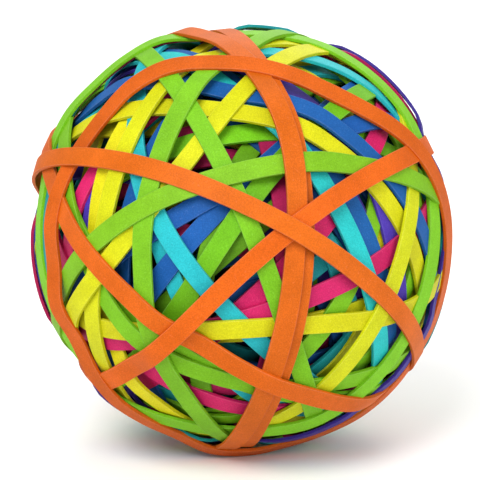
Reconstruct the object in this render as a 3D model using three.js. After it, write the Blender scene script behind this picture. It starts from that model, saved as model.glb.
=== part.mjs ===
// Rubber band ball: flat rubber bands wound one over another round a tightly
// packed core of older bands. Millimetres, +Z up, the origin at the middle of
// the ball; the side with the star of orange bands faces -Y.
import * as THREE from "three";

// ---- driving dimensions -------------------------------------------------
const BALL_RADIUS = 30.7;      // mean radius of the layer of outer bands
const CORE_LIMIT = 29.5;       // the packed inner bands reach this far out
const CORE_DEPTH = 0.9;        // and stay this far under the outer bands
const BAND_WIDTH = 3.05;       // flat face of a stretched band
const BAND_THICK = 0.46;       // wall of a stretched band
const GAP = 0.05;              // air kept between one band and the next
const EDGE_MARGIN = 0.16;      // side room kept round a band's edges
const STATIONS = 32;           // cross-sections along each band
const EVENNESS = [0.3, 0.45];  // how strongly tension evens out a band: the
                               // first one wound, the last one
const TAUT = 0;               // the last ones wound run straight where free
const FOUNDATION = 0.06;       // how strongly the ball holds its own shape
const SETTLE_ROOM = 0.03;      // extra room between settled layers
const ORIGIN_SHIFT = [0.2274, 0.0563, -0.0068]; // brings the box of the ball onto the origin

// Low places and swellings of the ball:
// direction x, y, z, height in mm, spread in degrees.
const LUMPS = [
  [0.074, 0.389, 0.918, 2.645, 19],
  [-0.312, 0.044, 0.949, -0.247, 19],
  [0.427, 0.065, 0.902, 1.7, 19],
  [-0.27, 0.612, 0.743, -0.264, 19],
  [-0.113, -0.39, 0.914, -2.777, 19],
  [0.513, 0.529, 0.676, -0.884, 19],
  [-0.68, 0.224, 0.698, 3.837, 19],
  [0.479, -0.391, 0.786, 0.776, 19],
  [0.016, 0.881, 0.473, 0.791, 19],
  [-0.55, -0.438, 0.711, -0.902, 19],
  [0.825, 0.171, 0.539, 1.879, 19],
  [-0.667, 0.63, 0.399, -1.543, 19],
  [0.135, -0.749, 0.649, -1.752, 19],
  [0.498, 0.823, 0.272, -1.557, 19],
  [-0.892, -0.133, 0.433, -1.443, 19],
  [0.821, -0.365, 0.44, -0.996, 19],
  [-0.307, 0.944, 0.119, 0.369, 19],
  [-0.386, -0.806, 0.448, 1.399, 19],
  [0.89, 0.433, 0.142, 0.716, 19],
  [-0.931, 0.345, 0.118, 1.313, 19],
  [0.478, -0.817, 0.323, -0.623, 19],
  [0.234, 0.967, -0.099, -1.18, 19],
  [-0.828, -0.532, 0.177, 0.475, 19],
  [0.989, -0.141, 0.051, 0.091, 19],
  [-0.628, 0.756, -0.182, -0.033, 19],
  [-0.062, -0.987, 0.146, 1.477, 19],
  [0.716, 0.654, -0.245, 1.161, 19],
  [-0.989, -0.055, -0.137, 0.678, 19],
  [0.741, -0.67, -0.049, 0.199, 19],
  [-0.11, 0.898, -0.425, 1.143, 19],
  [-0.566, -0.818, -0.103, -1.474, 19],
  [0.931, 0.12, -0.345, 1.773, 19],
  [-0.802, 0.397, -0.447, 0.893, 19],
  [0.261, -0.944, -0.204, 1.417, 19],
  [0.394, 0.7, -0.596, -0.654, 19],
  [-0.817, -0.415, -0.402, -2.058, 19],
  [0.797, -0.407, -0.446, 0.71, 19],
  [-0.369, 0.607, -0.704, -0.566, 19],
  [-0.219, -0.875, -0.432, -2.513, 19],
  [0.651, 0.257, -0.715, -0.346, 19],
  [-0.713, -0.008, -0.701, -2.269, 19],
  [0.408, -0.689, -0.599, -0.637, 19],
  [0.066, 0.46, -0.886, -0.16, 19],
  [-0.436, -0.547, -0.714, -1.154, 19],
  [0.52, -0.186, -0.834, 1.373, 19],
  [-0.323, 0.112, -0.94, 1.224, 19],
  [0.025, -0.534, -0.845, 0.699, 19],
  [0.126, -0.048, -0.991, 0.945, 19],
];

// One row per band, from the outermost down to the first one wound:
// name, then in degrees the heading and the rise of the loop's axis, the
// distance of the loop from the middle plane, its waviness (twice and three
// times round, cosine and sine), and its lean (constant, cosine, sine).
const BANDS = [
  ["orange_band_01", -135.99, -52.99, 7.11, -0.12, -1.61, -0.22, 0.15, 0, 0, -0],
  ["orange_band_02", -82.15, -3.14, 21.88, -0.98, 4.67, -1.76, -1.51, -10, 0, 0],
  ["orange_band_03", 170.56, 54.67, -5.35, 0.78, 2.83, 0.08, 1.29, 0, -0, 0],
  ["orange_band_04", -27.18, 52.79, -5.89, 1.25, 1.72, 0.71, 0.14, 0, 0, -0],
  ["orange_band_05", -156.56, -0.04, 10.1, -0.58, -3.7, 0.33, -0.21, 0, 0, -0],
  ["lime_band_01", -65.06, -48.32, 10.69, -0.19, 2.33, 0.12, 0.18, 0, 0, 0],
  ["orange_band_06", -163.03, 1.17, 2.32, -1, -1.52, -0.77, -1.15, 0, 0, 0],
  ["lime_band_02", -29.59, 0.85, 6.42, -2.75, 1.89, 0.36, -0.13, 0, 0, -0],
  ["lime_band_03", -95.62, 18.39, 16.27, 0.54, -1.48, 0.98, -0.63, -8, 0, 0],
  ["lime_band_04", -169.5, -22.6, 2.57, -0.8, -0.76, 0.31, -0.64, 0, 0, -0],
  ["yellow_band_01", -31.65, -32.21, -9.16, 1.78, -0.79, -0.83, 1.64, 0, 0, 0],
  ["yellow_band_02", -137.51, 31.77, -5.98, 1.67, 1.09, 0.44, 0.18, 0, 0, 0],
  ["yellow_band_03", -46.13, -7.77, 2.35, -0.75, 2.59, -2.05, 1.64, 0, 0, 0],
  ["lime_band_05", -45.11, 51.78, 1.73, -1.71, -3.42, 0.11, 2.31, 0, 0, -0],
  ["yellow_band_04", -99.24, 78.1, -4.6, -0.86, -0.11, -1.74, 1.95, 0, 0, 0],
  ["lime_band_06", -41.42, 47.48, -0.62, -0.48, 1.18, -0.71, 1.24, 0, 0, -0],
  ["blue_band_01", -113.37, -31.73, -0.59, 0.56, 0.88, 0.44, -1.54, 0, 0, -0],
  ["yellow_band_05", -115.69, -33.76, 4.53, -0.69, -0.93, 1.14, -1.21, 0, 0, -0],
  ["cyan_band_01", -16.58, 30.32, 6.35, -1.19, 2.9, 0.46, -1.22, 0, 0, -0],
  ["cyan_band_02", -142.83, -22.32, 0.27, 0.23, 0.15, 0.55, -0.49, 0, 0, -0],
  ["magenta_band_01", -145.2, 69.64, 0.08, 0.27, 0.51, -0.25, -0.97, 0, 0, 0],
  ["blue_band_02", -138.6, -18.46, -0.03, -0.77, 1.97, 0.3, -0.64, 0, 0, -0],
  ["cyan_band_03", -92.71, -11.07, 0.04, -0.84, -0.44, 1.72, 0.06, 0, 0, -0],
  ["yellow_band_06", -47.28, 7.48, 2.48, 1.64, 0.79, 1.9, 1.08, 0, 0, -0],
  ["lime_band_07", -12.84, -38.93, -0.35, 0.23, 0.69, -0.93, -1.72, 0, 0, 0],
  ["blue_band_03", -42.53, -49.8, -0.01, -0.37, -0.43, 0.69, 1.53, 0, 0, 0],
  ["blue_band_04", -21.39, -36.75, -0.11, -0.94, -0.8, 0.04, -0.12, 0, 0, 0],
  ["purple_band_01", -135.78, -19.65, -5.19, -2.21, -4.26, 1.72, 0.11, 0, 0, -0],
  ["magenta_band_02", -60.49, 46.13, -3.12, -0.01, -1.5, 0.07, 1.24, 0, 0, -0],
  ["cyan_band_04", -17.23, 27.95, 0.38, -3.52, 0.8, -1.16, 2.51, 0, 0, -0],
  ["magenta_band_03", -53.35, -9.58, -4.01, -3.18, -2.61, 0.65, 0, 0, 0, 0],
  ["purple_band_02", -51.37, 2.88, -1.13, 1.96, -2.46, 0, -0, 0, 0, -0],
  ["magenta_band_04", -170.47, 43.62, -0.23, 0.53, -0.22, 0.09, -0.54, 0, 0, 0],
  ["blue_band_05", -34.18, -4.18, -0.85, -0.53, 0.69, 0.96, 0.95, 0, 0, 0],
  ["lime_band_08", -105.25, 20.27, 14.59, -1.74, -0.21, 0.33, 0.72, 0, 0, 0],
  ["lime_band_09", -80.56, -47.93, -1.14, 1.23, -1.26, 0.36, 0.23, 0, 0, 0],
  ["lime_band_10", -145.48, 29.42, 0, 0.71, -0.59, -0.26, -0.31, 0, 0, 0],
  ["yellow_band_07", -119.67, 12.23, 16.22, -2.41, -1.3, 1.57, -0.02, 0, 0, 0],
  ["yellow_band_08", -106.15, 83.55, -9, 1.11, -0.06, -1.11, -1.32, 0, 0, 0],
];

const COLOURS = {
  orange: 0xf57823, yellow: 0xebe428, lime: 0x8cd434, cyan: 0x3cc8cc,
  blue: 0x2a65aa, purple: 0x55349b, magenta: 0xd72d78, core: 0x1c2226,
};
const RAD = Math.PI / 180;
const HALF = BAND_WIDTH / 2;

// ---- height of what is already wound, kept on the faces of a cube ---------
const GRID = 256;
const height = new Float64Array(6 * GRID * GRID);
function cell(x, y, z) {
  const ax = Math.abs(x), ay = Math.abs(y), az = Math.abs(z);
  let f, u, v, m;
  if (ax >= ay && ax >= az) { f = x > 0 ? 0 : 1; u = y; v = z; m = ax; }
  else if (ay >= az) { f = y > 0 ? 2 : 3; u = x; v = z; m = ay; }
  else { f = z > 0 ? 4 : 5; u = x; v = y; m = az; }
  const i = Math.min(GRID - 1, Math.floor((Math.atan(u / m) * 4 / Math.PI + 1) / 2 * GRID));
  const j = Math.min(GRID - 1, Math.floor((Math.atan(v / m) * 4 / Math.PI + 1) / 2 * GRID));
  return [f, i, j];
}
function readHeight(x, y, z) {
  const [f, i, j] = cell(x, y, z);
  let h = 0;
  for (let a = Math.max(0, i - 1); a <= Math.min(GRID - 1, i + 1); a++)
    for (let b = Math.max(0, j - 1); b <= Math.min(GRID - 1, j + 1); b++)
      h = Math.max(h, height[(f * GRID + a) * GRID + b]);
  return h;
}
function raise(p) {
  const r = Math.hypot(p[0], p[1], p[2]);
  const [f, i, j] = cell(p[0], p[1], p[2]);
  const k = (f * GRID + i) * GRID + j;
  if (r > height[k]) height[k] = r;
}

// ---- core: packed inner bands, kept just under the lowest of the outer ones
function makeCore(loops) {
  const ball = new THREE.IcosahedronGeometry(1, 5);
  const src = ball.getAttribute("position");
  const seen = new Map(), verts = [], index = [];
  const low = [];
  for (const L of loops)
    for (let i = 0; i < STATIONS; i++) {
      const q = at(L.st[i], L.rad[i], 0, 0), m = Math.hypot(...q);
      low.push([q[0] / m, q[1] / m, q[2] / m, m]);
    }
  const near = Math.cos(17 * RAD);
  const radius = (x, y, z) => {
    let r = CORE_LIMIT;
    for (const q of low) if (q[0] * x + q[1] * y + q[2] * z > near) r = Math.min(r, q[3] - CORE_DEPTH);
    return r;
  };
  for (let k = 0; k < src.count; k++) {
    const d = new THREE.Vector3().fromBufferAttribute(src, k).normalize();
    const key = [d.x, d.y, d.z].map((q) => Math.round(q * 1e4)).join();
    if (!seen.has(key)) {
      seen.set(key, verts.length / 3);
      const r = radius(d.x, d.y, d.z);
      verts.push(d.x * r, d.y * r, d.z * r);
    }
    index.push(seen.get(key));
  }
  height.fill(Math.min(...low.map((q) => q[3])) - CORE_DEPTH);
  return piece("core", "core", verts, index);
}

// ---- mean surface of the ball ---------------------------------------------
function ballRadius(x, y, z) {
  let r = BALL_RADIUS;
  for (const [a, b, c, h, s] of LUMPS) {
    const t = Math.acos(Math.max(-1, Math.min(1, x * a + y * b + z * c))) / (s * RAD);
    r += h * Math.exp(-t * t);
  }
  return r;
}

// ---- bands ---------------------------------------------------------------
function loopOf(row) {
  const [, az, rise, d0, c2, s2, c3, s3, t0, tc, ts] = row;
  const a = az * RAD, b = rise * RAD;
  const n = [Math.cos(b) * Math.cos(a), Math.cos(b) * Math.sin(a), Math.sin(b)];
  const e1 = [-Math.sin(a), Math.cos(a), 0];
  const e2 = [n[1] * e1[2] - n[2] * e1[1], n[2] * e1[0] - n[0] * e1[2], n[0] * e1[1] - n[1] * e1[0]];
  return {
    n, e1, e2,
    lat: (p) => (d0 + c2 * Math.cos(2 * p) + s2 * Math.sin(2 * p) + c3 * Math.cos(3 * p) + s3 * Math.sin(3 * p)) * RAD,
    lean: (p) => (t0 + tc * Math.cos(p) + ts * Math.sin(p)) * RAD,
  };
}
// middle of the inner face, direction across it, direction out of it
function station(loop, p, lean) {
  const { n, e1, e2 } = loop;
  const d = loop.lat(p), cd = Math.cos(d), sd = Math.sin(d);
  const out = [], side = [];
  for (let k = 0; k < 3; k++) {
    const w = Math.cos(p) * e1[k] + Math.sin(p) * e2[k];
    out.push(cd * w + sd * n[k]);
    side.push(-sd * w + cd * n[k]);
  }
  const c = Math.cos(lean), s = Math.sin(lean);
  return {
    u: out,
    t: side.map((q, k) => q * c + out[k] * s),
    o: out.map((q, k) => q * c - side[k] * s),
  };
}
const at = (st, r, w, h) => [0, 1, 2].map((k) => st.u[k] * r + st.t[k] * w + st.o[k] * h);

// ---- settling: crossing bands share the room, the upper pushed out and the
// lower pressed in, each band staying as even as its tension keeps it --------
function settle(loops) {
  const n = loops.length, N = n * STATIONS;
  const rest = new Float64Array(N), r = new Float64Array(N);
  loops.forEach((L, k) => {
    for (let i = 0; i < STATIONS; i++) rest[k * STATIONS + i] = ballRadius(...L.st[i].u);
  });
  r.set(rest);
  const G = 128, SUB = 24, cells = new Map();
  loops.forEach((L, k) => {
    for (let i = 0; i < STATIONS; i++) {
      const j = (i + 1) % STATIONS;
      for (let s = 0; s < SUB; s++)
        for (let w = -6; w <= 6; w++) {
          const f = s / SUB, x = w / 6 * (HALF + EDGE_MARGIN);
          const a = at(L.st[i], 32, x, 0), b = at(L.st[j], 32, x, 0);
          const [c, u, v] = cell(a[0] * (1 - f) + b[0] * f, a[1] * (1 - f) + b[1] * f, a[2] * (1 - f) + b[2] * f);
          const key = (c * G + (u >> 1)) * G + (v >> 1);
          let list = cells.get(key);
          if (!list) cells.set(key, (list = []));
          if (!list.length || list[list.length - 1][0] !== k) list.push([k, i, f]);
        }
    }
  });
  const A = [], B = [], F = [], H = [];
  for (const list of cells.values())
    for (let q = 1; q < list.length; q++) {
      const [ka, ia, fa] = list[q - 1], [kb, ib, fb] = list[q];
      A.push(ka * STATIONS + ia, ka * STATIONS + (ia + 1) % STATIONS);
      B.push(kb * STATIONS + ib, kb * STATIONS + (ib + 1) % STATIONS);
      F.push(fa); H.push(fb);
    }
  const step = BAND_THICK + GAP + SETTLE_ROOM;
  for (let pass = 0; pass < 400; pass++) {
    const hold = pass < 340 ? 1 : (400 - pass) / 60;
    for (let k = 0; k < n; k++) {
      const o = k * STATIONS;
      const even = EVENNESS[0] + (EVENNESS[1] - EVENNESS[0]) * Math.max(0, k / n * 2 - 1);
      for (let c = 0; c < 2; c++)
        for (let i = 0; i < STATIONS; i++) {
          const a = r[o + (i + STATIONS - 1) % STATIONS], b = r[o + (i + 1) % STATIONS];
          r[o + i] += hold * (even * ((a + b) / 2 - r[o + i]) + FOUNDATION * (rest[o + i] - r[o + i]));
        }
    }
    for (let it = 0; it < 3; it++)
      for (let q = 0; q < F.length; q++) {
        const a0 = A[2 * q], a1 = A[2 * q + 1], b0 = B[2 * q], b1 = B[2 * q + 1], f = F[q], h = H[q];
        const lack = r[a0] * (1 - f) + r[a1] * f + step - r[b0] * (1 - h) - r[b1] * h;
        if (lack <= 0) continue;
        const m = 0.5 * lack;
        const ga = m / ((1 - f) * (1 - f) + f * f), gb = m / ((1 - h) * (1 - h) + h * h);
        r[a0] -= ga * (1 - f) ; r[a1] -= ga * f;
        r[b0] += gb * (1 - h); r[b1] += gb * h;
      }
  }
  loops.forEach((L, k) => { L.rad = Array.from(r.slice(k * STATIONS, (k + 1) * STATIONS)); });
}

function makeBand(L, depth) {
  const { row, rad } = L, S = L.st;
  const ACROSS = [-1, -0.67, -0.33, 0, 0.33, 0.67, 1], reach = HALF + EDGE_MARGIN;
  // lift the straight runs until nothing below is touched, the worst place
  // first, then let every station down again as far as it goes
  const STEPS = 16, aim = rad.slice();
  const room = (i) => {
    const j = (i + 1) % STATIONS, list = [];
    for (let s = 0; s <= STEPS; s++) {
      const f = s / STEPS;
      let slack = 99;
      for (const w of ACROSS) {
        const a = at(S[i], rad[i], w * reach, 0), b = at(S[j], rad[j], w * reach, 0);
        const q = a.map((v, k) => v * (1 - f) + b[k] * f), m = Math.hypot(...q);
        slack = Math.min(slack, m - GAP - readHeight(q[0] / m, q[1] / m, q[2] / m));
      }
      list.push(slack);
    }
    return list;
  };
  for (let round = 0; round < 2; round++) {
    const rooms = rad.map((_, i) => room(i));
    for (let pass = 0; pass < 600; pass++) {
      let worst = -0.002, i = -1, s = 0;
      rooms.forEach((list, n) => list.forEach((v, m) => { if (v < worst) { worst = v; i = n; s = m; } }));
      if (i < 0) break;
      const j = (i + 1) % STATIONS, f = s / STEPS, k = (0.003 - worst) / ((1 - f) * (1 - f) + f * f);
      rad[i] += k * (1 - f);
      rad[j] += k * f;
      for (const n of [(i + STATIONS - 1) % STATIONS, i, j]) rooms[n] = room(n);
    }
    for (let i = 0; i < STATIONS; i++) {
      let down = rad[i] - aim[i];
      room(i).forEach((v, s) => { const w = 1 - s / STEPS; if (w > 0.04) down = Math.min(down, v / w); });
      room((i + STATIONS - 1) % STATIONS).forEach((v, s) => { const w = s / STEPS; if (w > 0.04) down = Math.min(down, v / w); });
      if (down > 0) rad[i] -= down;
    }
  }
  if (depth < TAUT) {
    const c = Math.cos(2 * Math.PI / STATIONS) * 0.35 + 0.65;
    for (let pass = 0; pass < 25; pass++)
      for (let i = 0; i < STATIONS; i++) {
        const a = rad[(i + STATIONS - 1) % STATIONS], b = rad[(i + 1) % STATIONS];
        rad[i] += Math.max(0, 0.7 * ((a + b) / 2 * c - rad[i]));
      }
  }
  // the piece itself, and what it adds to the ball
  const verts = [], index = [];
  for (let i = 0; i < STATIONS; i++)
    for (const [w, h] of [[-HALF, 0], [HALF, 0], [HALF, BAND_THICK], [-HALF, BAND_THICK]])
      verts.push(...at(S[i], rad[i], w, h));
  for (let i = 0; i < STATIONS; i++) {
    const a = i * 4, b = ((i + 1) % STATIONS) * 4;
    for (let k = 0; k < 4; k++) {
      const l = (k + 1) % 4;
      index.push(a + k, b + l, b + k, a + k, a + l, b + l);
    }
  }
  for (let i = 0; i < STATIONS; i++) {
    const j = (i + 1) % STATIONS;
    for (let s = 0; s < 48; s++)
      for (let w = -12; w <= 12; w++) {
        const a = at(S[i], rad[i], w / 12 * HALF, BAND_THICK), b = at(S[j], rad[j], w / 12 * HALF, BAND_THICK);
        raise(a.map((v, k) => v * (1 - s / 48) + b[k] * s / 48));
      }
  }
  return piece(row[0], row[0].split("_")[0], verts, index);
}

function piece(name, colour, verts, index) {
  const g = new THREE.BufferGeometry();
  g.setAttribute("position", new THREE.Float32BufferAttribute(verts, 3));
  g.setIndex(index);
  g.computeVertexNormals();
  const m = new THREE.Mesh(g, new THREE.MeshStandardMaterial({ color: COLOURS[colour], roughness: 0.6 }));
  m.name = name;
  return m;
}

const group = new THREE.Group();
group.name = "rubber_band_ball";
// the first wound comes first
const loops = BANDS.slice().reverse().map((row) => {
  const loop = loopOf(row), st = [];
  for (let i = 0; i < STATIONS; i++) {
    const p = i / STATIONS * 2 * Math.PI;
    st.push(station(loop, p, loop.lean(p)));
  }
  return { row, st };
});
settle(loops);
const meshes = [makeCore(loops)];
loops.forEach((L, k) => meshes.push(makeBand(L, loops.length - 1 - k)));
for (const m of meshes) {
  m.geometry.translate(...ORIGIN_SHIFT);
  group.add(m);
}
export default group;
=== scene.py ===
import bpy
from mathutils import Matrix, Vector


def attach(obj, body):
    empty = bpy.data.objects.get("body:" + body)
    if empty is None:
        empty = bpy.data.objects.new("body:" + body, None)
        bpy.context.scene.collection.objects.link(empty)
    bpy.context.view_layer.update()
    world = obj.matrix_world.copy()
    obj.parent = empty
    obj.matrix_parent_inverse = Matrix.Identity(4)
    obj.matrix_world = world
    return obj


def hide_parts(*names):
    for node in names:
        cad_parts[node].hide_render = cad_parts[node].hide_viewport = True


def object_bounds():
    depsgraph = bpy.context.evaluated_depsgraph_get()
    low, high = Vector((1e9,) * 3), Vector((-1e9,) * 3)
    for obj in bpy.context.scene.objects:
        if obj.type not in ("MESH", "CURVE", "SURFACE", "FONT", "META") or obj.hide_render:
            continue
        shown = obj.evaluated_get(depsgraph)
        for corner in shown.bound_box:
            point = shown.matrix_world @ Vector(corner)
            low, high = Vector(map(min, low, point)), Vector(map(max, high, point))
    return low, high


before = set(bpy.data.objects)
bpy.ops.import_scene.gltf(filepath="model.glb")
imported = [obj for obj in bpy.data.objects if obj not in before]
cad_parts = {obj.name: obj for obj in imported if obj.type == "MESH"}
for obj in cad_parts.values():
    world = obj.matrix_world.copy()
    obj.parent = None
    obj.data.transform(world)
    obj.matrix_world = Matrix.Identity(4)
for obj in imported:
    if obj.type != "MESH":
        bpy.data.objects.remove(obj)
import math
import bpy, numpy as np


def note_size():
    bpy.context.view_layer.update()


note_size()

# ---------------------------------------------------------------- the bands
MM = 0.001
SHIFT = np.array([0.2274, 0.0563, -0.0068])
STATIONS = 32
WIDTH, THICK, PRESSED = 3.05, 0.46, 0.14

# name, heading and rise of the loop's axis, distance from the middle plane,
# waviness (2 and 3 times round), lean: all in degrees, outermost first
BANDS = [
    ["orange_band_01", -135.99, -52.99, 7.11, -0.12, -1.61, -0.22, 0.15, 0, 0, -0],
    ["orange_band_02", -82.15, -3.14, 21.88, -0.98, 4.67, -1.76, -1.51, -10, 0, 0],
    ["orange_band_03", 170.56, 54.67, -5.35, 0.78, 2.83, 0.08, 1.29, 0, -0, 0],
    ["orange_band_04", -27.18, 52.79, -5.89, 1.25, 1.72, 0.71, 0.14, 0, 0, -0],
    ["orange_band_05", -156.56, -0.04, 10.1, -0.58, -3.7, 0.33, -0.21, 0, 0, -0],
    ["lime_band_01", -65.06, -48.32, 10.69, -0.19, 2.33, 0.12, 0.18, 0, 0, 0],
    ["orange_band_06", -163.03, 1.17, 2.32, -1, -1.52, -0.77, -1.15, 0, 0, 0],
    ["lime_band_02", -29.59, 0.85, 6.42, -2.75, 1.89, 0.36, -0.13, 0, 0, -0],
    ["lime_band_03", -95.62, 18.39, 16.27, 0.54, -1.48, 0.98, -0.63, -8, 0, 0],
    ["lime_band_04", -169.5, -22.6, 2.57, -0.8, -0.76, 0.31, -0.64, 0, 0, -0],
    ["yellow_band_01", -31.65, -32.21, -9.16, 1.78, -0.79, -0.83, 1.64, 0, 0, 0],
    ["yellow_band_02", -137.51, 31.77, -5.98, 1.67, 1.09, 0.44, 0.18, 0, 0, 0],
    ["yellow_band_03", -46.13, -7.77, 2.35, -0.75, 2.59, -2.05, 1.64, 0, 0, 0],
    ["lime_band_05", -45.11, 51.78, 1.73, -1.71, -3.42, 0.11, 2.31, 0, 0, -0],
    ["yellow_band_04", -99.24, 78.1, -4.6, -0.86, -0.11, -1.74, 1.95, 0, 0, 0],
    ["lime_band_06", -41.42, 47.48, -0.62, -0.48, 1.18, -0.71, 1.24, 0, 0, -0],
    ["blue_band_01", -113.37, -31.73, -0.59, 0.56, 0.88, 0.44, -1.54, 0, 0, -0],
    ["yellow_band_05", -115.69, -33.76, 4.53, -0.69, -0.93, 1.14, -1.21, 0, 0, -0],
    ["cyan_band_01", -16.58, 30.32, 6.35, -1.19, 2.9, 0.46, -1.22, 0, 0, -0],
    ["cyan_band_02", -142.83, -22.32, 0.27, 0.23, 0.15, 0.55, -0.49, 0, 0, -0],
    ["magenta_band_01", -145.2, 69.64, 0.08, 0.27, 0.51, -0.25, -0.97, 0, 0, 0],
    ["blue_band_02", -138.6, -18.46, -0.03, -0.77, 1.97, 0.3, -0.64, 0, 0, -0],
    ["cyan_band_03", -92.71, -11.07, 0.04, -0.84, -0.44, 1.72, 0.06, 0, 0, -0],
    ["yellow_band_06", -47.28, 7.48, 2.48, 1.64, 0.79, 1.9, 1.08, 0, 0, -0],
    ["lime_band_07", -12.84, -38.93, -0.35, 0.23, 0.69, -0.93, -1.72, 0, 0, 0],
    ["blue_band_03", -42.53, -49.8, -0.01, -0.37, -0.43, 0.69, 1.53, 0, 0, 0],
    ["blue_band_04", -21.39, -36.75, -0.11, -0.94, -0.8, 0.04, -0.12, 0, 0, 0],
    ["purple_band_01", -135.78, -19.65, -5.19, -2.21, -4.26, 1.72, 0.11, 0, 0, -0],
    ["magenta_band_02", -60.49, 46.13, -3.12, -0.01, -1.5, 0.07, 1.24, 0, 0, -0],
    ["cyan_band_04", -17.23, 27.95, 0.38, -3.52, 0.8, -1.16, 2.51, 0, 0, -0],
    ["magenta_band_03", -53.35, -9.58, -4.01, -3.18, -2.61, 0.65, 0, 0, 0, 0],
    ["purple_band_02", -51.37, 2.88, -1.13, 1.96, -2.46, 0, -0, 0, 0, -0],
    ["magenta_band_04", -170.47, 43.62, -0.23, 0.53, -0.22, 0.09, -0.54, 0, 0, 0],
    ["blue_band_05", -34.18, -4.18, -0.85, -0.53, 0.69, 0.96, 0.95, 0, 0, 0],
    ["lime_band_08", -105.25, 20.27, 14.59, -1.74, -0.21, 0.33, 0.72, 0, 0, 0],
    ["lime_band_09", -80.56, -47.93, -1.14, 1.23, -1.26, 0.36, 0.23, 0, 0, 0],
    ["lime_band_10", -145.48, 29.42, 0, 0.71, -0.59, -0.26, -0.31, 0, 0, 0],
    ["yellow_band_07", -119.67, 12.23, 16.22, -2.41, -1.3, 1.57, -0.02, 0, 0, 0],
    ["yellow_band_08", -106.15, 83.55, -9, 1.11, -0.06, -1.11, -1.32, 0, 0, 0],
]
# older bands seen in the gaps, the same numbers, outermost first
INNER = [
    ["cyan", -96.63, -19.05, -1.31, -0.01, 0.15, 0.11, 0.62],
    ["magenta", -168.71, 0.07, 1.24, -1.23, -1.19, -0.9, -0.46],
    ["cyan", -126.91, 32.24, -0.34, 0.03, -0.56, 0.64, -2.4],
    ["cyan", -64.33, -19.02, -0.12, 0.68, -0.14, -0.18, -0.94],
    ["blue", -136.72, -38.11, -1.18, 2.9, -1.89, 1.2, 0.69],
    ["blue", -123.78, -21.73, 0, 0.45, -0.32, -0.71, 0.5],
    ["magenta", -70.37, -42.65, -0.47, -0.43, 1.35, -1.45, 0.43],
    ["purple", -136.71, -17.26, 0.05, -0.33, 0.22, -0.33, 0.43],
    ["yellow", -107.32, 21.95, 0.27, -1.66, 0.68, 0.11, -0.56],
    ["lime", -29.64, -9.86, 18.46, 0.33, -0.25, -0.34, -0.23],
    ["cyan", -104.11, 44.8, -1.13, 0.19, 0.21, 0.17, -0.05],
    ["lime", 167.02, 47.1, -0.34, 0.24, -0.34, 0, 0],
    ["magenta", -91.25, 43.42, 9, 0, 0, -0, -0],
    ["yellow", -46.38, -14.96, 4.03, 2.45, 0.8, -0.08, 1.38],
    ["cyan", -150.67, -20.9, 0, 0, 0, 0.14, 0.39],
    ["yellow", -110.25, -52.86, -9, -0.15, 0.14, -0.09, 0.19],
    ["lime", -86.86, 37.63, 0, -0, -0, 0, 0],
    ["blue", -79.76, 31.71, -18, -1.1, 0.66, -0.03, -0.28],
    ["lime", -106.4, 19.4, -18, -1.21, 0.43, 0.05, -0.28],
    ["yellow", -42.51, 1.14, -18, 0.7, -1.07, -0.2, 0.2],
]
COLOURS = {
    "orange": (0.56, 0.100, 0.0015),
    "yellow": (0.56, 0.54, 0.003),
    "lime": (0.170, 0.465, 0.008),
    "cyan": (0.014, 0.41, 0.435),
    "blue": (0.0056, 0.083, 0.300),
    "purple": (0.060, 0.030, 0.36),
    "magenta": (0.58, 0.0130, 0.118),
}
# bands that are yellower, redder or deeper than the rest of their colour
SHADE = {
    "orange_band_01": (1.04, 1.12, 0.9), "orange_band_02": (0.92, 0.86, 1.0),
    "lime_band_01": (0.98, 0.85, 1.0), "lime_band_02": (0.98, 0.87, 1.1),
    "lime_band_04": (0.83, 0.80, 0.9), "lime_band_07": (0.80, 0.87, 0.8),
}
RAD = math.pi / 180
rng = np.random.default_rng(41)


class Loop:
    def __init__(self, row):
        self.name = row[0]
        a, b = row[1] * RAD, row[2] * RAD
        self.n = np.array([math.cos(b) * math.cos(a), math.cos(b) * math.sin(a), math.sin(b)])
        self.e1 = np.array([-math.sin(a), math.cos(a), 0.0])
        self.e2 = np.cross(self.n, self.e1)
        self.d = [v * RAD for v in row[3:8]]
        self.l = [v * RAD for v in (list(row[8:11]) + [0, 0, 0])[:3]]

    def lat(self, p):
        d = self.d
        return d[0] + d[1] * np.cos(2 * p) + d[2] * np.sin(2 * p) + d[3] * np.cos(3 * p) + d[4] * np.sin(3 * p)

    def lean(self, p):
        return self.l[0] + self.l[1] * np.cos(p) + self.l[2] * np.sin(p)

    def frames(self, p, lean):
        d = self.lat(p)[:, None]
        w = np.cos(p)[:, None] * self.e1 + np.sin(p)[:, None] * self.e2
        u = np.cos(d) * w + np.sin(d) * self.n
        s = -np.sin(d) * w + np.cos(d) * self.n
        c, k = np.cos(lean)[:, None], np.sin(lean)[:, None]
        return u, s * c + u * k, u * c - s * k


def wave(n, orders, amp):
    """a smooth closed random wave of n samples"""
    p = np.arange(n) / n * 2 * math.pi
    v = np.zeros(n)
    for k in orders:
        a, b = rng.normal(size=2)
        v += (a * np.cos(k * p) + b * np.sin(k * p)) / math.sqrt(len(orders))
    return v * amp


def section(width, thick, edge, sink=0.0):
    """closed outline of a band's section, rounded a little at its corners"""
    pts = []
    w, h = width / 2, thick + sink
    for cx, cy, a0 in ((w - edge, edge, -90), (w - edge, h - edge, 0), (-w + edge, h - edge, 90), (-w + edge, edge, 180)):
        for a in (0, 45, 90):
            t = (a0 + a) * RAD
            pts.append((cx + edge * math.cos(t), cy + edge * math.sin(t) - sink))
    return np.array(pts)


def plain_section(width, thick, edge):
    """the same with fewer points, for the bands further in"""
    w = width / 2
    return np.array([(-w, 0), (w, 0), (w, thick - edge), (w - edge, thick), (-w + edge, thick), (-w, thick - edge)])


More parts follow.
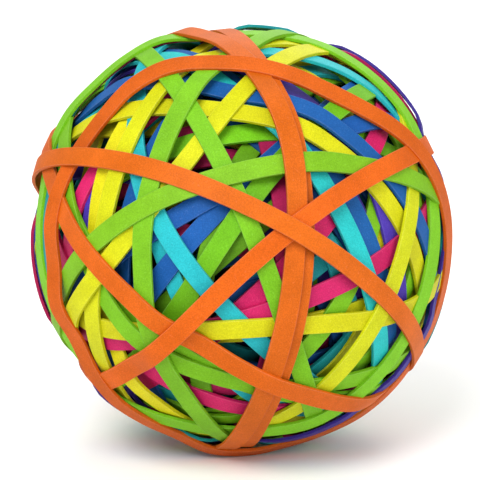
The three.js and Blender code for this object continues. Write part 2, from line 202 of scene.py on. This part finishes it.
def strip(loop, rad, count, width, thick, edge, lean_extra=0.0, wmod=None, sink=0.0, plain=False):
    """vertices and faces of one closed band; rad is sampled evenly round"""
    p = np.arange(count) / count * 2 * math.pi
    u, t, o = loop.frames(p, loop.lean(p) + lean_extra)
    sec = plain_section(width, thick, edge) if plain else section(width, thick, edge, sink)
    wm = np.ones(count) if wmod is None else wmod
    m = len(sec)
    v = (u[:, None, :] * rad[:, None, None]
         + t[:, None, :] * (sec[None, :, 0] * wm[:, None])[..., None]
         + o[:, None, :] * sec[None, :, 1][..., None])
    i = np.arange(count)[:, None] * m
    j = ((np.arange(count) + 1) % count)[:, None] * m
    k = np.arange(m)[None, :]
    l = (k + 1) % m
    f = np.stack([i + k, i + l, j + l, j + k], -1).reshape(-1, 4)
    return v.reshape(-1, 3), f


def closed_spline(values, count):
    """even samples of a closed Catmull-Rom curve through values"""
    n = len(values)
    x = np.arange(count) / count * n
    i = np.floor(x).astype(int)
    f = x - i
    a, b, c, d = (values[(i + k) % n] for k in (-1, 0, 1, 2))
    return 0.5 * (2 * b + (c - a) * f + (2 * a - 5 * b + 4 * c - d) * f ** 2 + (3 * b - a - 3 * c + d) * f ** 3)


def station_radii(loop):
    """inner radius at each station, read from the CAD node"""
    v = np.array([q.co[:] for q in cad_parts[loop.name].data.vertices]) / MM - SHIFT
    p = np.arctan2(v @ loop.e2, v @ loop.e1)
    i = np.round(p / (2 * math.pi) * STATIONS).astype(int) % STATIONS
    ang = np.arange(STATIONS) / STATIONS * 2 * math.pi
    u, t, o = loop.frames(ang, loop.lean(ang))
    out = np.zeros(STATIONS)
    for k in range(STATIONS):
        q = v[i == k]
        h = q @ o[k]
        inner = q[h < (h.min() + h.max()) / 2]
        out[k] = (inner @ u[k]).mean() if len(inner) else 0
    return out


def mesh_object(name, v, f, mats, index=None):
    me = bpy.data.meshes.new(name)
    v = (v + SHIFT) * MM
    me.vertices.add(len(v)); me.vertices.foreach_set("co", v.astype(np.float32).ravel())
    me.loops.add(f.size); me.loops.foreach_set("vertex_index", f.astype(np.int32).ravel())
    me.polygons.add(len(f))
    me.polygons.foreach_set("loop_start", np.arange(len(f), dtype=np.int32) * 4)
    me.polygons.foreach_set("loop_total", np.full(len(f), 4, dtype=np.int32))
    for m in mats:
        me.materials.append(m)
    if index is not None:
        me.polygons.foreach_set("material_index", index.astype(np.int32))
    me.update(calc_edges=True)
    me.validate()
    me.polygons.foreach_set("use_smooth", np.ones(len(f), dtype=bool))
    me.set_sharp_from_angle(angle=20 * RAD)
    ob = bpy.data.objects.new(name, me)
    bpy.context.scene.collection.objects.link(ob)
    return ob


# ------------------------------------------------------------- the materials
def rubber(name, col, painted_shade_factor=1.0, seed=0.0):
    m = bpy.data.materials.new(name)
    m.use_nodes = True
    nt = m.node_tree
    N, L = nt.nodes, nt.links
    b = N["Principled BSDF"]
    tc = N.new("ShaderNodeTexCoord")
    mp = N.new("ShaderNodeMapping"); mp.inputs["Location"].default_value = (seed * 0.37, seed * 0.11, seed * 0.23)
    L.new(tc.outputs["Object"], mp.inputs["Vector"])

    def noise(scale, detail, rough):
        q = N.new("ShaderNodeTexNoise")
        q.inputs["Scale"].default_value = scale
        q.inputs["Detail"].default_value = detail
        q.inputs["Roughness"].default_value = rough
        L.new(mp.outputs["Vector"], q.inputs["Vector"])
        return q

    # painted shade: a shade factor below 1 darkens the whole colour, for bands that lie deep in the gaps
    c = tuple(min(1, v * painted_shade_factor * 1.1) for v in col)
    blotch, grain = noise(170, 3, 0.6), noise(2600, 2, 0.7)
    r1 = N.new("ShaderNodeValToRGB")
    r1.color_ramp.elements[0].position = 0.30
    r1.color_ramp.elements[1].position = 0.72
    r1.color_ramp.elements[0].color = (*[v * 0.86 for v in c], 1)
    r1.color_ramp.elements[1].color = (*[min(1, v * 1.08 + 0.004) for v in c], 1)
    L.new(blotch.outputs["Fac"], r1.inputs["Fac"])
    r2 = N.new("ShaderNodeValToRGB")
    r2.color_ramp.elements[0].position = 0.60
    r2.color_ramp.elements[1].position = 0.74
    r2.color_ramp.elements[0].color = (0, 0, 0, 1)
    r2.color_ramp.elements[1].color = (0.16, 0.16, 0.16, 1)
    L.new(grain.outputs["Fac"], r2.inputs["Fac"])
    fine = noise(5200, 1, 0.5)
    r3 = N.new("ShaderNodeValToRGB")
    r3.color_ramp.elements[0].position = 0.34
    r3.color_ramp.elements[1].position = 0.66
    r3.color_ramp.elements[0].color = (0.80, 0.80, 0.80, 1)
    r3.color_ramp.elements[1].color = (1, 1, 1, 1)
    L.new(fine.outputs["Fac"], r3.inputs["Fac"])
    mg = N.new("ShaderNodeMix"); mg.data_type = "RGBA"; mg.blend_type = "MULTIPLY"
    mg.inputs["Factor"].default_value = 1.0
    L.new(r1.outputs["Color"], mg.inputs["A"])
    L.new(r3.outputs["Color"], mg.inputs["B"])
    mx = N.new("ShaderNodeMix"); mx.data_type = "RGBA"
    L.new(r2.outputs["Color"], mx.inputs["Factor"])
    L.new(mg.outputs["Result"], mx.inputs["A"])
    mx.inputs["B"].default_value = (*[min(1, v * 0.85 + 0.12 * painted_shade_factor) for v in c], 1)
    L.new(mx.outputs["Result"], b.inputs["Base Color"])
    b.inputs["Roughness"].default_value = 0.58
    b.inputs["Specular IOR Level"].default_value = 0.14
    bp = N.new("ShaderNodeBump")
    bp.inputs["Strength"].default_value = 0.25
    bp.inputs["Distance"].default_value = 0.00004
    L.new(grain.outputs["Fac"], bp.inputs["Height"])
    L.new(bp.outputs["Normal"], b.inputs["Normal"])
    return m


# ------------------------------------------------------- outer bands, one each
GRID = 192
low = np.full(6 * GRID * GRID, 99.0)
lid, high = low.copy(), low * 0
SKIN_U, SKIN_R = [], []


def cells(d):
    a = np.abs(d)
    f = a.argmax(-1)
    m = np.take_along_axis(a, f[..., None], -1)[..., 0]
    s = np.take_along_axis(d, f[..., None], -1)[..., 0] < 0
    u = np.where(f == 0, d[..., 1], d[..., 0]) / m
    v = np.where(f == 2, d[..., 1], d[..., 2]) / m
    i = np.clip(((np.arctan(u) * 4 / math.pi + 1) / 2 * GRID).astype(int), 0, GRID - 1)
    j = np.clip(((np.arctan(v) * 4 / math.pi + 1) / 2 * GRID).astype(int), 0, GRID - 1)
    return ((f * 2 + s) * GRID + i) * GRID + j


def footprint(loop, rad, count, half):
    p = np.arange(count) / count * 2 * math.pi
    u, t, o = loop.frames(p, loop.lean(p))
    w = np.linspace(-half, half, 15)
    q = u[:, None, :] * rad[:, None, None] + t[:, None, :] * w[None, :, None]
    r = np.linalg.norm(q, axis=-1)
    return cells(q / r[..., None]), r


def eased(r):
    """tension evens the run out a little between stations, and rubber presses
    closer together than the plain solids of the bands do"""
    e = 0.56 * r + 0.22 * (np.roll(r, 1) + np.roll(r, -1))
    r = r + np.clip(e - r, -0.22, 0.22)
    return 33.3 + (r - 33.3) * np.where(r > 33.3, 0.62, 0.74)


FINE = 208
for k, row in enumerate(BANDS):
    loop = Loop(row)
    colour = loop.name.split("_")[0]
    rad = closed_spline(eased(station_radii(loop)), FINE)
    col = np.array(COLOURS[colour]) * (1 + 0.05 * rng.normal()) * (1 + 0.03 * rng.normal(size=3))
    col = col * np.array(SHADE.get(loop.name, (1, 1, 1)))
    mat = rubber(loop.name + "_rubber", tuple(np.clip(col, 0, 1)), 1.0, k + 1.0)
    v, f = strip(loop, rad, FINE, WIDTH * (1 + 0.02 * rng.normal()), THICK, 0.10,
                 wave(FINE, (2, 3, 5, 7), 1.6 * RAD), 1 + wave(FINE, (3, 5, 8, 13), 0.012), PRESSED)
    # the rounded top corners get a paler copy of the band's colour: a painted highlight along the edges
    edge = rubber(loop.name + "_edge", tuple(np.clip(col * 0.95 + 0.025, 0, 1)), 1.0, k + 1.5)
    side = np.tile(np.isin(np.arange(12), (3, 4, 6, 7)), FINE).astype(int)
    ob = mesh_object(loop.name + "_look", v, f, [mat, edge], side)
    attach(ob, "root"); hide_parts(loop.name)
    c, r = footprint(loop, closed_spline(eased(station_radii(loop)), 720), 720, WIDTH / 2)
    np.minimum.at(low, c.ravel(), r.ravel())
    p = np.arange(64) / 64 * 2 * math.pi
    SKIN_U.append(loop.frames(p, loop.lean(p))[0])
    SKIN_R.append(closed_spline(eased(station_radii(loop)), 64) + THICK)
    if k < 9:
        np.minimum.at(lid, c.ravel(), r.ravel())
    else:
        np.maximum.at(high, c.ravel(), r.ravel() + THICK)

# ------------------------------------- older bands under them, and the core
# the older bands under the outer ones take their colours at 0.60: painted shade for the gaps they lie in
mats = [rubber("older_" + c, COLOURS[c], 0.60, 60 + i) for i, c in enumerate(COLOURS)]
names = list(COLOURS)
inner = [(Loop(r), names.index(r[0]), 32.3) for r in INNER]
weights = np.array([0.02, 0.07, 0.05, 0.18, 0.26, 0.22, 0.20])
# places where nothing lies over the near-black middle, so that its painted shade shows as deep gaps: direction and
# radius, degrees
DEEP = [
    (0.410, -0.833, -0.372, 3.6), (-0.403, -0.905, 0.137, 2.6), (-0.058, -0.709, -0.703, 2.4),
    (0.022, -0.934, -0.358, 2.2), (-0.374, -0.594, -0.712, 2.4), (-0.708, -0.543, -0.452, 2.2),
    (-0.078, -0.468, 0.880, 2.0), (-0.533, -0.846, 0.014, 1.6), (0.723, -0.388, 0.571, 1.6),
    (-0.440, -0.606, 0.663, 1.4), (-0.551, -0.750, 0.365, 1.4),
]


def covers_deep(loop):
    u = loop.frames(np.arange(240) / 240 * 2 * math.pi, np.zeros(240))[0]
    return any((u @ np.array(q[:3])).max() > math.cos((q[3] + 2.4) * RAD) for q in DEEP)


while len(inner) < len(INNER) + 88:
    z = rng.uniform(-1, 1)
    row = ["", rng.uniform(0, 360), math.degrees(math.asin(z)), rng.normal() * 6,
           rng.normal() * 1.2, rng.normal() * 1.2, rng.normal() * 0.4, rng.normal() * 0.4]
    loop, k = Loop(row), len(inner) - len(INNER)
    if not covers_deep(loop):
        inner.append((loop, int(rng.choice(7, p=weights / weights.sum())), 33.3 - 1.0 * k / 96))
# a few that run round the sides, over the others: heading and rise of the
# loop's axis, distance from the middle plane, colour
RING = [
    (-86, 3, 1.0, 6), (-102, 21, 1.0, 5), (-77, 18, -2.0, 3),
]
inner += [(Loop(["", a, b, -d, 0, 0, 0, 0]), c, 32.7) for a, b, d, c in RING]
SKIN_U, SKIN_R = np.vstack(SKIN_U), np.concatenate(SKIN_R)
V, F, I, base = [], [], [], 0
STAR = np.array([0, -math.cos(12 * RAD), math.sin(12 * RAD)])  # deeper gaps on this side
COUNT = 132
for loop, ci, top in inner:
    sub = 4
    c, r = footprint(loop, np.full(COUNT * sub, 31.0), COUNT * sub, WIDTH / 2 + 0.1)
    need = low[c].min(1).reshape(COUNT, sub).min(1) - 0.34
    u = loop.frames(np.arange(COUNT) / COUNT * 2 * math.pi, np.zeros(COUNT))[0]
    star = np.clip((u @ STAR - 0.30) / 0.35, 0, 1)
    need = np.minimum(top - (2.5 if top != 32.3 else 0) * star, need)
    near = np.where(u @ SKIN_U.T > math.cos(8 * RAD), SKIN_R[None, :], 0).max(1)
    need = np.minimum(need, np.where(near > 0, near, 32.5) - 0.95)
    rad = need.copy()
    for _ in range(10):
        rad = np.minimum(need, 0.4 * rad + 0.3 * (np.roll(rad, 1) + np.roll(rad, -1)))
    rad = np.maximum(rad, 20)
    if top == 32.7:  # over the bands below it, under the last few wound
        over = np.maximum(high[c].max(1).reshape(COUNT, sub).max(1) + 0.08, 31.6)
        rad = over.copy()
        for _ in range(40):
            rad = np.maximum(over, 0.2 * rad + 0.4 * (np.roll(rad, 1) + np.roll(rad, -1)))
        rad = np.minimum(rad, lid[c].min(1).reshape(COUNT, sub).min(1) - 0.44)
        rad = 0.5 * rad + 0.25 * (np.roll(rad, 1) + np.roll(rad, -1))
    v, f = strip(loop, rad, COUNT, WIDTH, 0.46 if top == 32.7 else 0.58, 0.10, plain=True)
    V.append(v); F.append(f + base); I.append(np.full(len(f), ci)); base += len(v)
    c, r = footprint(loop, closed_spline(rad, 720), 720, WIDTH / 2)
    np.minimum.at(low, c.ravel(), r.ravel())
    if top == 32.7:
        np.maximum.at(high, c.ravel(), r.ravel() + 0.46)
# a near-black ball fills what is left in the middle: painted shade, showing as the deepest gaps between the bands
n1, n2 = 48, 24
a = np.arange(n1) / n1 * 2 * math.pi
b = (np.arange(n2 + 1) / n2 - 0.5) * math.pi * 0.999
g = np.stack([np.outer(np.cos(b), np.cos(a)), np.outer(np.cos(b), np.sin(a)), np.outer(np.sin(b), np.ones(n1))], -1)
V.append(g.reshape(-1, 3) * 23.0)
q = [[base + i * n1 + j, base + i * n1 + (j + 1) % n1, base + (i + 1) * n1 + (j + 1) % n1, base + (i + 1) * n1 + j]
     for i in range(n2) for j in range(n1)]
F.append(np.array(q)); I.append(np.full(len(q), 7))
# near-black colour for the middle ball: painted shade
mats.append(rubber("core_dark", (0.02, 0.02, 0.025), 1.0, 90))
core = mesh_object("core_windings", np.vstack(V), np.vstack(F), mats, np.concatenate(I))
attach(core, "root"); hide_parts("core")

# --------------------------------------------------------- floor and lights
lo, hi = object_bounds()
FLOOR_Z = float(lo[2]) - 0.00004
bpy.ops.mesh.primitive_circle_add(vertices=96, radius=2.2, fill_type="NGON", location=(0, 0, FLOOR_Z))
floor = bpy.context.object
floor.name = "floor"
fm = bpy.data.materials.new("pale_floor"); fm.use_nodes = True
fb = fm.node_tree.nodes["Principled BSDF"]
fb.inputs["Base Color"].default_value = (0.93, 0.93, 0.93, 1)
fb.inputs["Roughness"].default_value = 0.9
fb.inputs["Specular IOR Level"].default_value = 0.1
floor.data.materials.append(fm)

world = bpy.data.worlds.new("studio"); bpy.context.scene.world = world
world.use_nodes = True
bg = world.node_tree.nodes["Background"]
bg.inputs["Color"].default_value = (1.0, 1.0, 1.0, 1)
bg.inputs["Strength"].default_value = 0.68


def area(name, loc, size, power, colour=(1, 1, 1)):
    d = bpy.data.lights.new(name, "AREA")
    d.energy, d.size, d.color = power, size, colour
    o = bpy.data.objects.new(name, d)
    bpy.context.scene.collection.objects.link(o)
    o.location = loc
    v = np.array(loc)
    import mathutils
    o.rotation_euler = mathutils.Vector(-v).to_track_quat("-Z", "Y").to_euler()
    return o


area("key", (-0.25, -0.55, 0.60), 0.45, 6.2)
area("fill", (0.60, -0.45, 0.30), 0.50, 2.0)
area("back", (0.1, 0.60, 0.50), 0.50, 2.8)

# --------------------------------------------------------------- the camera
EL = 12 * RAD
DIST = 0.450
cam = bpy.data.cameras.new("camera")
cam.lens = 213.91
cam.sensor_width = 36
cam.shift_y = -0.00417
cam.clip_start = 0.01
co = bpy.data.objects.new("camera", cam)
bpy.context.scene.collection.objects.link(co)
co.location = SHIFT * MM + DIST * np.array([0, -math.cos(EL), math.sin(EL)])
co.rotation_euler = (math.pi / 2 - EL, 0, 0)
bpy.context.scene.camera = co
bpy.context.scene.view_settings.view_transform = "Standard"

note_size()
